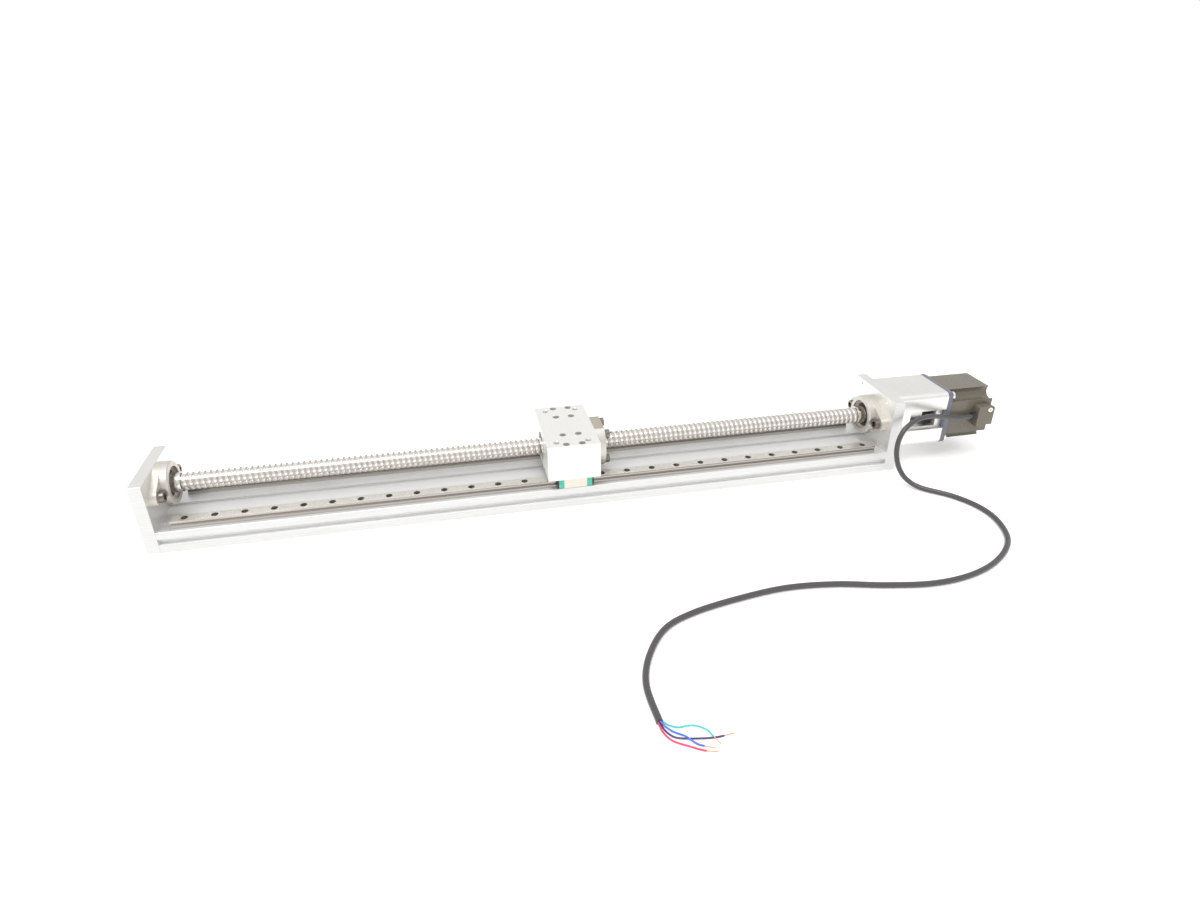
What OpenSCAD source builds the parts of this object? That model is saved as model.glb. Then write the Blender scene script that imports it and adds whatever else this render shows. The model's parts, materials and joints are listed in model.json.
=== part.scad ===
// Ball screw linear module: an extruded base with two miniature guide rails,
// a 16 mm ball screw between two end plates, a carriage on four-row guide
// blocks and a flange-mounted stepper motor.
// X runs along the screw, Z is up. The origin is on the underside, half way
// between the end plates.

/* [Base profile] */
// Length of the base profile between the end plates
profile_len = 696; // [400:1:1000]
// Width of the base profile and of both end plates
profile_w = 80; // [80:1:110]
// Height of the base profile
profile_h = 21; // [20:0.5:30]
// Width of the shallow channel under the screw
channel_w = 20; // [12:1:22]
// Depth of the shallow channel under the screw
channel_depth = 2; // [1:0.5:4]
// Opening of each T-slot
slot_open = 6; // [5:0.5:7]
// Inner width of each T-slot
slot_w = 10; // [9:0.5:11]
// Thickness of the lips of each T-slot
slot_lip = 2; // [1.5:0.5:2.5]
// Full depth of each T-slot
slot_depth = 5.5; // [5:0.5:6.5]
// Height of the side T-slots above the underside
side_slot_z = 11; // [9:0.5:12]
// Distance of the bottom T-slots from the middle
bottom_slot_y = 20; // [18:1:24]
// Width of the hollow along the middle of the profile
hollow_w = 19; // [10:1:22]
// Wall below the hollow
hollow_floor = 4; // [3:0.5:5]
// Wall between the hollow and the channel
hollow_roof = 4; // [2:0.5:5]

/* [Guide rails] */
// Distance from the end of a rail to the end plate
rail_end_gap = 12; // [2:1:40]
// Distance between the middles of the two rails
rail_spacing = 60; // [58:1:66]
// Width of a rail
rail_w = 12; // [11:0.5:12]
// Height of a rail
rail_h = 8; // [7:0.5:9]
// Depth of the seat that each rail stands in
rail_seat_depth = 1; // [0.5:0.5:2]
// Distance between rail screws
rail_pitch = 25; // [20:5:50]
// Diameter of the rail screws
rail_screw_d = 3; // [2.5:0.5:3]
// Length of the rail screws under the head
rail_screw_len = 10; // [8:1:11]
// Counterbore over each rail screw
rail_cbore_d = 6; // [5.8:0.2:7]
// Depth of that counterbore
rail_cbore_depth = 4.5; // [3.5:0.5:5]

/* [End plates] */
// Thickness of both end plates
plate_t = 11; // [10:0.5:16]
// Height of the end plate at the idle end
idle_plate_h = 67; // [66:0.5:80]
// Height of the screw axis above the underside
axis_z = 48; // [47.5:0.5:54]
// Diameter of the screws that hold the plates to the profile
plate_screw_d = 5; // [4:0.5:5]
// Length of those screws under the head
plate_screw_len = 16; // [12:1:25]

/* [Bearing housings] */
// Thickness of the flange of a bearing housing
housing_flange_t = 6.5; // [5:0.5:9]
// Height of the boss above the end plate
housing_boss_h = 13; // [12.5:0.5:17]
// Diameter of the boss
housing_boss_d = 40; // [37:1:42]
// Distance between the two bolts of a housing
housing_bolt_spacing = 50; // [50:1:56]
// Radius of the ears around those bolts
housing_ear_r = 8; // [7:0.5:9]
// Diameter of those bolts
housing_bolt_d = 6; // [5:1:6]
// Height of the low heads of those bolts
housing_bolt_head_h = 4.5; // [4:0.5:6]
// Outer diameter of the insert bearing
bearing_od = 30; // [28:1:32]
// Width of the insert bearing
bearing_w = 8; // [7:0.5:9]
// Ball diameter of the insert bearing
bearing_ball_d = 4.8; // [4:0.2:5]
// Diameter of the locking collar
collar_d = 18; // [17:0.5:19]
// How far the locking collar reaches from the end plate
collar_reach = 19.5; // [19:0.5:24]

/* [Ball screw] */
// Diameter of the screw over its thread
screw_d = 16; // [15:0.5:16]
// Diameter of the journals in the bearings
journal_d = 12; // [10:0.5:12]
// Diameter of the end in the coupling
drive_end_d = 10; // [8:0.5:10]

/* [Ball nut] */
// Diameter of the nut flange
nut_flange_d = 48; // [47:1:52]
// Width of the nut flange across its two flats
nut_flat_w = 40; // [39:1:43]
// Thickness of the nut flange
nut_flange_t = 10; // [8:1:14]
// Diameter of the nut body
nut_body_d = 28; // [27:0.5:29]
// Length of the nut with its flange
nut_len = 50; // [40:1:56]
// Circle of the nut's screws
nut_pcd = 38; // [38:0.5:39]
// Diameter of the nut's screws
nut_screw_d = 5; // [4:1:5]
// Length of the nut's screws under the head
nut_screw_len = 20; // [18:1:22]

/* [Guide blocks] */
// Place of the guide blocks along the carriage, from its middle
block_shift_x = 1; // [-5:0.5:5]
// Length of the steel body of a guide block
block_steel_len = 21.7; // [21:0.1:26]
// Length of each end cap of a guide block
block_cap_len = 5; // [4:0.5:6]
// Thickness of each end seal
block_seal_t = 1.5; // [1:0.5:2]
// Width of a guide block
block_w = 27; // [26:0.5:27]
// Height of the top of a guide block above the rail seat
block_assembly_h = 13; // [12.5:0.5:15]
// Gap from the rail seat to the bottom of a guide block
block_ground_gap = 3; // [2.5:0.5:4]
// Screw spacing of a guide block along the rail
block_hole_x = 15; // [12:1:16]
// Screw spacing of a guide block across the rail
block_hole_y = 20; // [19:1:21]
// Diameter of the guide block screws
block_screw_d = 3; // [2.5:0.5:3]
// Ball diameter of the guide blocks
guide_ball_d = 2; // [1.6:0.1:2.2]

/* [Carriage] */
// Place of the middle of the carriage along the profile
carriage_x = 21; // [-200:1:200]
// Length of the carriage plate
carriage_len = 50; // [46:1:80]
// Width of the carriage plate
carriage_w = 90; // [89:1:110]
// Height of the carriage plate
carriage_h = 35; // [34:1:48]
// Depth of the keel under the ball nut
carriage_keel = 2; // [1:0.5:4]
// Depth of the counterbores over the guide block screws
carriage_cbore_depth = 28; // [22:1:29]
// Spacing of the tapped mounting holes along the module
mount_x = 30; // [28:1:34]
// Spacing of the tapped mounting holes across the module
mount_y = 70; // [70:1:74]
// Bore of the tapped mounting holes
mount_hole_d = 4.2; // [3.3:0.1:5]
// Depth of the tapped mounting holes
mount_hole_depth = 12; // [8:1:16]

/* [Motor housing] */
// Length of the motor housing
housing_len = 57; // [56:1:70]
// Width of the access channel along each side
side_channel_w = 21; // [16:1:24]
// Depth of that channel
side_channel_depth = 5; // [4:0.5:6]
// Distance of the access window from the end plate
window_inset = 20.5; // [10:0.5:22]
// Length of the access window in each channel
window_len = 29; // [20:1:34]
// Height of the access window
window_h = 17.5; // [10:0.5:18]

/* [Motor] */
// Size of the square motor flange
motor_size = 57; // [57:0.5:60]
// Distance of the motor's bolt holes from its sides
motor_hole_inset = 4.93; // [4.9:0.1:6]
// Thickness of the motor flange
motor_flange_t = 5; // [4:0.5:7]
// Diameter of the locating pilot of the motor
pilot_d = 38; // [36:0.1:38.2]
// Length of the stator stack
stator_len = 38; // [36:1:60]
// Length of the rear cap
rear_cap_len = 9; // [9:1:16]
// Diameter of the motor shaft
motor_shaft_d = 8; // [6:0.5:8]
// Diameter of the rotor
rotor_d = 28; // [24:1:30]
// Diameter of the bolts through the motor and its housing
motor_bolt_d = 5; // [4:1:5]
// Height of the low heads of those bolts
motor_bolt_head_h = 3; // [2.5:0.5:5]

/* [Coupling] */
// Diameter of the coupling
coupling_d = 25; // [22:1:28]
// Length of each coupling hub behind its jaws
hub_len = 14; // [12:1:15]
// Length of the jaws and of the spider between them
jaw_len = 8; // [6:1:9]

/* [Cable] */
// Length of the cable cover on the motor
cover_len = 18; // [16:1:22]
// How far the cable cover stands out of the motor
cover_depth = 9.5; // [9:0.5:12]
// Height of the cable cover
cover_h = 23; // [21:0.5:30]
// Diameter of the motor cable
cable_d = 5; // [4:0.5:6]
// Diameter of each wire in the cable
wire_d = 1.3; // [1:0.1:1.3]

/* [Hidden] */
$fn = 48;

// Clearances
thread_gap = 0.05;      // radial, between a screw and its tapped hole
hole_gap = 0.25;        // radial, between a screw and its clearance hole
slide_gap = 0.05;       // radial, between two pieces pushed together
running_gap = 0.06;     // radial, between a shaft and what it turns in
free_gap = 0.3;         // between pieces that pass each other
seat_slack = 0.05;      // each side of a piece that lies in a groove

// Ends along the module
end_x = profile_len / 2;
plate_x = end_x + plate_t;
motor_x = plate_x + housing_len;
stator_x = motor_x + motor_flange_t;
cap_x = stator_x + stator_len;
rear_x = cap_x + rear_cap_len;
thread_x = end_x - collar_reach - free_gap;

rail_len = profile_len - 2 * rail_end_gap;

// Heights
seat_z = profile_h - rail_seat_depth;
rail_top_z = seat_z + rail_h;
block_z0 = seat_z + block_ground_gap;
block_z1 = seat_z + block_assembly_h;
carriage_z0 = block_z1;
carriage_z1 = carriage_z0 + carriage_h;
drive_plate_h = axis_z + motor_size / 2;

// Guide blocks
rail_y = rail_spacing / 2;
block_x = carriage_x + block_shift_x;
block_gap = 0.4;
groove_y = rail_w / 2 + 0.1;
groove_z = rail_h - 3;
groove_r = guide_ball_d / 2 + 0.15;
block_len = block_steel_len + 2 * (block_cap_len + block_seal_t);
cap_screw_y = block_w / 2 - 3;
cap_screw_z = 2.6;
cap_screw_r = 0.8;
ball_pitch = guide_ball_d * 1.08;

// Insert bearings
journal_r = journal_d / 2;
bearing_back = 1;
bearing_pitch_r = (bearing_od / 2 - 2.4 + collar_d / 2) / 2;
bearing_race_r = bearing_ball_d / 2 + 0.05;
outer_ring_r = bearing_od / 2 - 2.4;
bearing_balls = floor(2 * PI * bearing_pitch_r / (bearing_ball_d * 1.45));
seal_t = 0.8;
set_screw_d = 4;
set_screw_h = (housing_boss_h + collar_reach) / 2;

// Nut
nut_face_x = carriage_x + carriage_len / 2;
wiper_t = 3;
wiper_d = 22;

// Motor
stator_w = motor_size - 0.6;
notch_r = 6.8;
case_screw_wall = 3.9;  // from a corner notch to the middle of a case screw
bolt_at = motor_size / 2 - motor_hole_inset;
case_screw_at = bolt_at - (notch_r + case_screw_wall) / sqrt(2);
motor_bearing_d = 19;
motor_bearing_w = 6;
pilot_h = 1.6;
air_gap = 0.4;

// Coupling
hub_x = plate_x + 5;
jaw_x = hub_x + hub_len;
hub2_x = jaw_x + jaw_len;
coupling_end_x = hub2_x + hub_len;
shaft_in = motor_x - hub2_x;

// Cable cover
cover_x = cap_x + 7 - cover_len;
cover_y = -stator_w / 2;
cover_z = 50;
cable_z = cover_z;
cable_y = cover_y - cover_depth / 2;

// Route of the motor cable, from the cover to the cut end on the table
table_z = cable_d / 2;
cable_route = [
    [cover_x, cable_y, cable_z], [cover_x - 10, cable_y, cable_z],
    [424, -35, 50.8], [408, -38, 54.8],
    [390, -42, 59.6], [373, -46, 59.8], [358, -50, 54], [349, -54.5, 43],
    [346, -59.5, 30], [347.5, -65.5, 17.5], [353, -73, 8], [363, -84, 3.2],
    [385, -104, 2.5], [398, -128, 2.5], [399, -154, 2.5], [387, -183, 2.5],
    [360, -206, 2.5], [326, -220, 2.5], [288, -224, 2.5], [248, -218, 2.5],
    [208, -208, 2.5], [166, -204, 2.5], [122, -209, 2.5], [82, -218, 2.5],
    [56, -231, 2.5], [37, -256, 2.5], [27, -284, 2.5], [27, -318, 2.5]];
// Routes of the four wires, from inside the cut jacket
green_route = [
    [28.6, -317, 2.4], [32, -320.3, 1.5], [38, -323, 0.7], [48, -323.5, 0.7],
    [55, -329, 1.4], [57.5, -336, 2.2], [61, -342, 0.7]];
black_route = [
    [27.4, -317, 1.7], [29, -324, 0.7], [34.5, -331, 0.7],
    [48, -334.5, 0.7], [60, -336, 0.7], [72, -335, 0.7]];
blue_route = [
    [27, -317, 3.4], [29.6, -322, 2.3], [34, -326.5, 1.2], [40, -332.3, 2.2],
    [44, -337, 1.5], [48, -340, 0.7], [57, -344, 0.7]];
red_route = [
    [26, -317, 2.4], [27.2, -325, 0.7], [31.5, -333, 0.7],
    [40, -339, 0.7], [49, -344.5, 0.7], [57, -347, 0.7]];

// Colours
aluminium = [0.93, 0.93, 0.91];
rail_steel = [0.62, 0.58, 0.53];
bright_steel = [0.80, 0.79, 0.77];
warm_steel = [0.78, 0.75, 0.70];
dark_steel = [0.16, 0.15, 0.15];
cap_green = [0.33, 0.72, 0.62];
seal_black = [0.12, 0.12, 0.12];
motor_dark = [0.42, 0.40, 0.36];
flange_blue = [0.45, 0.46, 0.54];

// ---------------------------------------------------------------- helpers

// Stretches a section drawn in Y and Z along X
module along_x(x0, len) {
    translate([x0, 0, 0]) rotate([90, 0, 90]) linear_extrude(len) children();
}

// A round bar along X
module bar_x(x0, len, d, y = 0, z = 0) {
    translate([x0, y, z]) rotate([0, 90, 0]) cylinder(d = d, h = len);
}

// A round bar along Z
module bar_z(z0, len, d, x = 0, y = 0) {
    translate([x, y, z0]) cylinder(d = d, h = len);
}

module rounded_rect(w, h, r) {
    square([w - 2 * r, h], center = true);
    square([w, h - 2 * r], center = true);
    for (sx = [-1, 1], sy = [-1, 1])
        translate([sx * (w / 2 - r), sy * (h / 2 - r)]) circle(r);
}

// Socket head screw pointing down from its seat at the origin
module cap_screw(d, len, low_head = 0) {
    head_d = d * 1.5 + 1;
    head_h = low_head > 0 ? low_head : d;
    difference() {
        union() {
            cylinder(d = head_d, h = head_h - 0.4);
            translate([0, 0, head_h - 0.4])
                cylinder(d1 = head_d, d2 = head_d - 0.8, h = 0.4);
            translate([0, 0, -len]) cylinder(d = d, h = len);
        }
        translate([0, 0, head_h * 0.45]) cylinder(d = d * 0.96, h = d, $fn = 6);
    }
}

// Turns a screw's head towards +X or -X
module screw_to_plus_x() { rotate([0, 90, 0]) children(); }
module screw_to_minus_x() { rotate([0, -90, 0]) children(); }

// ----------------------------------------------------------- base profile

module t_slot_outline() {
    inner = slot_lip + 2;
    polygon([
        [-slot_open / 2, -1], [slot_open / 2, -1], [slot_open / 2, slot_lip],
        [slot_w / 2, slot_lip], [slot_w / 2, inner], [slot_open / 2, slot_depth],
        [-slot_open / 2, slot_depth], [-slot_w / 2, inner], [-slot_w / 2, slot_lip],
        [-slot_open / 2, slot_lip]]);
}

module profile_section() {
    roof = profile_h - channel_depth - hollow_roof;
    difference() {
        translate([0, profile_h / 2]) rounded_rect(profile_w, profile_h, 0.8);
        translate([-channel_w / 2, profile_h - channel_depth])
            square([channel_w, channel_depth + 1]);
        for (s = [-1, 1]) {
            seat_w = rail_w + 2 * seat_slack;
            translate([s * rail_y - seat_w / 2, seat_z]) square([seat_w, rail_seat_depth + 1]);
            translate([s * profile_w / 2, side_slot_z]) rotate(s * 90) t_slot_outline();
            translate([s * bottom_slot_y, 0]) t_slot_outline();
        }
        translate([0, (hollow_floor + roof) / 2])
            rounded_rect(hollow_w, roof - hollow_floor, 2);
    }
}

// Holes for the plate screws, as [y, z]
outer_screw_y = rail_y;
outer_screw_z = 7.4;
inner_screw_y = hollow_w / 2 + plate_screw_d / 2 + 2;
inner_screw_z = slot_depth + plate_screw_d / 2 + 2.5;
plate_screw_at = [for (s = [-1, 1]) each
    [[s * outer_screw_y, outer_screw_z], [s * inner_screw_y, inner_screw_z]]];

// Places of the rail screws along X
rail_screws_n = floor((rail_len - rail_cbore_d - 6) / rail_pitch) + 1;
rail_screw_x = [for (i = [0 : rail_screws_n - 1])
    (i - (rail_screws_n - 1) / 2) * rail_pitch];

module base_profile() color(aluminium) difference() {
    tapped = rail_screw_len - (rail_h - rail_cbore_depth) + 0.5;
    along_x(-end_x, profile_len) profile_section();
    for (x = rail_screw_x, s = [-1, 1])
        bar_z(seat_z - tapped, tapped + 1, rail_screw_d + 2 * thread_gap, x, s * rail_y);
    for (p = plate_screw_at, e = [-1, 1])
        bar_x(e * end_x - plate_screw_len, 2 * plate_screw_len,
            plate_screw_d + 2 * thread_gap, p[0], p[1]);
}

// ----------------------------------------------------------------- rails

module rail_section() {
    chamfer = 0.5;
    difference() {
        polygon([
            [-rail_w / 2, 0], [rail_w / 2, 0], [rail_w / 2, rail_h - chamfer],
            [rail_w / 2 - chamfer, rail_h], [chamfer - rail_w / 2, rail_h],
            [-rail_w / 2, rail_h - chamfer]]);
        for (s = [-1, 1]) translate([s * groove_y, groove_z]) circle(groove_r);
    }
}

module rail(s) color(rail_steel) difference() {
    translate([0, s * rail_y, seat_z]) along_x(-rail_len / 2, rail_len) rail_section();
    for (x = rail_screw_x) {
        bar_z(seat_z - 1, rail_h + 2, rail_screw_d + 2 * hole_gap, x, s * rail_y);
        bar_z(rail_top_z - rail_cbore_depth, rail_cbore_depth + 1, rail_cbore_d,
            x, s * rail_y);
    }
}

module rail_screws() color(dark_steel)
    for (x = rail_screw_x, s = [-1, 1])
        translate([x, s * rail_y, rail_top_z - rail_cbore_depth])
            cap_screw(rail_screw_d, rail_screw_len);

// ------------------------------------------------------------ end plates

plate_cbore_d = plate_screw_d * 1.5 + 2;
plate_cbore_depth = plate_screw_d + 0.4;

module plate_blank(x0, h) {
    along_x(x0, plate_t) translate([0, h / 2]) rounded_rect(profile_w, h, 1);
}

module plate_cuts(e) {
    x0 = e < 0 ? -plate_x : end_x;
    outer = e * plate_x;
    bar_x(x0 - 1, plate_t + 2, collar_d + 4, 0, axis_z);
    for (s = [-1, 1])
        bar_x(x0 - 1, plate_t + 2, housing_bolt_d + 2 * thread_gap,
            s * housing_bolt_spacing / 2, axis_z);
    for (p = plate_screw_at) {
        bar_x(x0 - 1, plate_t + 2, plate_screw_d + 2 * hole_gap, p[0], p[1]);
        bar_x(e < 0 ? outer - 1 : outer - plate_cbore_depth, plate_cbore_depth + 1,
            plate_cbore_d, p[0], p[1]);
    }
}

module idle_end_plate() color(aluminium) difference() {
    plate_blank(-plate_x, idle_plate_h);
    plate_cuts(-1);
}

module drive_end_plate() color(aluminium) difference() {
    plate_blank(end_x, drive_plate_h);
    plate_cuts(1);
    for (sy = [-1, 1], sz = [-1, 1])
        bar_x(end_x - 1, plate_t + 2, motor_bolt_d + 2 * thread_gap,
            sy * bolt_at, axis_z + sz * bolt_at);
}

module plate_screws() color(dark_steel) for (p = plate_screw_at) {
    seat_x = plate_x - plate_cbore_depth;
    translate([seat_x, p[0], p[1]]) screw_to_plus_x()
        cap_screw(plate_screw_d, plate_screw_len);
    translate([-seat_x, p[0], p[1]]) screw_to_minus_x()
        cap_screw(plate_screw_d, plate_screw_len);
}

// ------------------------------------------------------ bearing housings

// Places what is drawn on +Z from an end plate onto the idle or drive end
module at_idle() { translate([-end_x, 0, axis_z]) rotate([90, 0, 90]) children(); }
module at_drive() { translate([end_x, 0, axis_z]) rotate([90, 0, -90]) children(); }

// Diamond outline: a boss circle and two ears joined by their tangents, which
// are set in a little so that they cross the circles
module diamond() {
    R = housing_boss_d / 2;
    d = housing_bolt_spacing / 2;
    a = acos((R - housing_ear_r) / d);
    lap = 0.06;
    circle(R);
    for (s = [-1, 1]) translate([s * d, 0]) circle(housing_ear_r);
    polygon([
        for (s = [[1, 1], [-1, 1], [-1, -1], [1, -1]]) each let(
            ear_r = housing_ear_r - lap,
            boss_r = R - lap,
            ear = [s[0] * (d + ear_r * cos(a)), s[1] * ear_r * sin(a)],
            boss = [s[0] * boss_r * cos(a), s[1] * boss_r * sin(a)])
            s[0] * s[1] > 0 ? [ear, boss] : [boss, ear]]);
}

module bearing_housing() color(warm_steel) difference() {
    R = housing_boss_d / 2;
    union() {
        linear_extrude(housing_flange_t) diamond();
        cylinder(r = R, h = housing_boss_h - 1);
        translate([0, 0, housing_boss_h - 1]) cylinder(r1 = R, r2 = R - 1, h = 1);
    }
    translate([0, 0, bearing_back]) cylinder(d = bearing_od, h = housing_boss_h);
    translate([0, 0, -1]) cylinder(d = bearing_od - 4, h = 3);
    for (s = [-1, 1]) translate([s * housing_bolt_spacing / 2, 0, 0]) {
        translate([0, 0, -1])
            cylinder(d = housing_bolt_d + 2 * hole_gap, h = housing_boss_h);
        translate([0, 0, housing_flange_t])
            cylinder(d = housing_bolt_d * 1.5 + 3, h = housing_boss_h);
    }
}

module housing_bolts() color(dark_steel)
    for (s = [-1, 1]) translate([s * housing_bolt_spacing / 2, 0, housing_flange_t])
        cap_screw(housing_bolt_d, housing_flange_t + plate_t - 1, housing_bolt_head_h);

module outer_ring() color(bright_steel) rotate_extrude() difference() {
    translate([outer_ring_r, bearing_back])
        square([bearing_od / 2 - slide_gap - outer_ring_r, bearing_w]);
    translate([bearing_pitch_r, bearing_back + bearing_w / 2]) circle(bearing_race_r);
}

module set_screw_places() {
    for (a = [-60, 60]) translate([0, 0, set_screw_h]) rotate([0, 90, a]) children();
}

module inner_ring() color(bright_steel) difference() {
    rotate_extrude() difference() {
        translate([journal_r + slide_gap, bearing_back])
            square([collar_d / 2 - journal_r - slide_gap, collar_reach - bearing_back]);
        translate([bearing_pitch_r, bearing_back + bearing_w / 2]) circle(bearing_race_r);
    }
    set_screw_places() cylinder(d = set_screw_d + 2 * thread_gap, h = collar_d);
}

module bearing_balls() color(bright_steel) for (i = [0 : bearing_balls - 1])
    rotate(i * 360 / bearing_balls)
        translate([bearing_pitch_r, 0, bearing_back + bearing_w / 2])
            sphere(d = bearing_ball_d, $fn = 24);

module bearing_seals() color(seal_black) for (z = [bearing_back, bearing_back + bearing_w - seal_t])
    translate([0, 0, z]) difference() {
        cylinder(r = outer_ring_r - slide_gap, h = seal_t);
        translate([0, 0, -1]) cylinder(r = collar_d / 2 + free_gap, h = seal_t + 2);
    }

module set_screws() color(dark_steel) set_screw_places() difference() {
    translate([0, 0, journal_r + slide_gap])
        cylinder(d = set_screw_d, h = collar_d / 2 - journal_r - 0.6);
    translate([0, 0, journal_r + 0.8]) cylinder(d = set_screw_d / 2, h = collar_d, $fn = 6);
}

module idle_bearing_housing() at_idle() bearing_housing();
module drive_bearing_housing() at_drive() bearing_housing();
module idle_housing_bolts() at_idle() housing_bolts();
module drive_housing_bolts() at_drive() housing_bolts();
module idle_bearing_outer_ring() at_idle() outer_ring();
module drive_bearing_outer_ring() at_drive() outer_ring();
module idle_bearing_inner_ring() at_idle() inner_ring();
module drive_bearing_inner_ring() at_drive() inner_ring();
module idle_bearing_balls() at_idle() bearing_balls();
module drive_bearing_balls() at_drive() bearing_balls();
module idle_bearing_seals() at_idle() bearing_seals();
module drive_bearing_seals() at_drive() bearing_seals();
module collar_set_screws() {
    at_idle() set_screws();
    at_drive() set_screws();
}

// ------------------------------------------------------------ ball screw

module ball_screw() color(bright_steel) translate([0, 0, axis_z]) {
    idle_tip = -end_x - plate_t + 2;
    drive_step = end_x + plate_t;
    drive_tip = jaw_x - 1;
    bar_x(idle_tip, -thread_x - idle_tip, journal_d);
    bar_x(-thread_x, 2 * thread_x, screw_d);
    bar_x(thread_x, drive_step - thread_x, journal_d);
    bar_x(drive_step, drive_tip - drive_step, drive_end_d);
}

module nut_screw_places(angles) {
    for (a = angles) translate([0, nut_pcd / 2 * cos(a), axis_z + nut_pcd / 2 * sin(a)])
        children();
}

module ball_nut() color(warm_steel) difference() {
    body_len = nut_len - nut_flange_t;
    union() {
        intersection() {
            bar_x(nut_face_x, nut_flange_t, nut_flange_d, 0, axis_z);
            translate([nut_face_x, -nut_flange_d, axis_z - nut_flat_w / 2])
                cube([nut_flange_t, 2 * nut_flange_d, nut_flat_w]);
        }
        bar_x(nut_face_x - body_len, body_len, nut_body_d, 0, axis_z);
    }
    bar_x(nut_face_x - nut_len, 2 * nut_len, screw_d + 2 * free_gap, 0, axis_z);
    bar_x(nut_face_x - body_len - 1, wiper_t + 1, wiper_d, 0, axis_z);
    bar_x(nut_face_x + nut_flange_t - wiper_t, wiper_t + 1, wiper_d, 0, axis_z);
    nut_screw_places([0, 45, 135, 180, 225, 315])
        bar_x(nut_face_x - 1, nut_flange_t + 2, nut_screw_d + 2 * hole_gap);
}

module nut_wipers() color(seal_black)
    for (x = [nut_face_x - nut_len + nut_flange_t, nut_face_x + nut_flange_t - wiper_t])
        difference() {
            bar_x(x, wiper_t, wiper_d - 2 * slide_gap, 0, axis_z);
            bar_x(x - 1, wiper_t + 2, screw_d + 2 * running_gap, 0, axis_z);
        }

module nut_screws() color(dark_steel) nut_screw_places([45, 135, 225, 315])
    translate([nut_face_x + nut_flange_t, 0, 0]) screw_to_plus_x()
        cap_screw(nut_screw_d, nut_screw_len);

// -------------------------------------------------------------- carriage

module block_hole_places(s) {
    for (sx = [-1, 1], sy = [-1, 1])
        translate([block_x + sx * block_hole_x / 2, s * rail_y + sy * block_hole_y / 2, 0])
            children();
}

block_screw_seat = carriage_z1 - carriage_cbore_depth;
block_screw_len = block_screw_seat - block_z1 + 3;
keel_w = 2 * (rail_y - block_w / 2) - 2;

module carriage_section() {
    chamfer = 0.5;
    w = carriage_w / 2;
    keel_z = carriage_z0 - carriage_keel;
    half = [
        [keel_w / 2, keel_z], [keel_w / 2, carriage_z0], [w, carriage_z0],
        [w, carriage_z1 - chamfer], [w - chamfer, carriage_z1]];
    n = len(half);
    polygon(concat(half, [for (i = [0 : n - 1]) [-half[n - 1 - i][0], half[n - 1 - i][1]]]));
}

module carriage_plate() color(aluminium) difference() {
    along_x(carriage_x - carriage_len / 2, carriage_len) carriage_section();
    bar_x(carriage_x - carriage_len, 2 * carriage_len, nut_body_d + 2 * slide_gap, 0, axis_z);
    nut_screw_places([45, 135, 225, 315])
        bar_x(nut_face_x - (nut_screw_len - nut_flange_t) - 1, nut_screw_len,
            nut_screw_d + 2 * thread_gap);
    for (s = [-1, 1]) block_hole_places(s) {
        bar_z(carriage_z0 - 1, carriage_h + 2, block_screw_d + 2 * hole_gap);
        bar_z(block_screw_seat, carriage_cbore_depth + 1, 2 * block_screw_d + 0.4);
    }
    for (sx = [-1, 1], sy = [-1, 1])
        bar_z(carriage_z1 - mount_hole_depth, mount_hole_depth + 1, mount_hole_d,
            carriage_x + sx * mount_x / 2, sy * mount_y / 2);
}

module guide_block_screws() color(dark_steel)
    for (s = [-1, 1]) block_hole_places(s)
        translate([0, 0, block_screw_seat]) cap_screw(block_screw_d, block_screw_len);

// ---------------------------------------------------------- guide blocks

// Section of a guide block piece, shrunk by "in", with a slot that clears
// the rail by "gap"
module block_section(in, gap) {
    w = block_w - 2 * in;
    slot_top = seat_z + rail_h + gap;
    difference() {
        translate([0, (block_z0 + block_z1) / 2])
            rounded_rect(w, block_z1 - block_z0 - 2 * in, 0.6);
        translate([-rail_w / 2 - gap, block_z0 - 1])
            square([rail_w + 2 * gap, slot_top - block_z0 + 1]);
    }
}

module guide_block(s) color(warm_steel) translate([block_x, s * rail_y, 0]) difference() {
    along_x(-block_steel_len / 2, block_steel_len) difference() {
        block_section(0, block_gap);
        for (g = [-1, 1]) translate([g * groove_y, seat_z + groove_z]) circle(groove_r);
    }
    for (sx = [-1, 1], sy = [-1, 1])
        bar_z(block_z1 - 3.5, 5, block_screw_d + 2 * thread_gap,
            sx * block_hole_x / 2, sy * block_hole_y / 2);
    cap_screw_holes();
}

module cap_screw_holes() {
    for (g = [-1, 1])
        bar_x(-block_len, 2 * block_len, 2 * (cap_screw_r + thread_gap),
            g * cap_screw_y, block_z0 + cap_screw_z);
}

module guide_caps(s) color(cap_green) translate([block_x, s * rail_y, 0])
    for (e = [-1, 1]) difference() {
        x0 = block_steel_len / 2;
        along_x(e > 0 ? x0 : -x0 - block_cap_len, block_cap_len) block_section(0.15, 0.5);
        cap_screw_holes();
    }

module guide_seals(s) color(seal_black) translate([block_x, s * rail_y, 0])
    for (e = [-1, 1]) difference() {
        x0 = block_steel_len / 2 + block_cap_len;
        along_x(e > 0 ? x0 : -x0 - block_seal_t, block_seal_t) block_section(0.3, free_gap);
        cap_screw_holes();
    }

module guide_cap_screws() color(dark_steel)
    for (s = [-1, 1], e = [-1, 1], g = [-1, 1])
        translate([block_x + e * block_len / 2, s * rail_y + g * cap_screw_y,
            block_z0 + cap_screw_z]) rotate([0, 90 * e, 0]) {
                cylinder(r = 1.4, h = 0.9);
                translate([0, 0, -block_cap_len - block_seal_t - 3])
                    cylinder(r = cap_screw_r, h = block_cap_len + block_seal_t + 3);
            }

guide_balls_n = floor((block_steel_len - 1) / ball_pitch);

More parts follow.
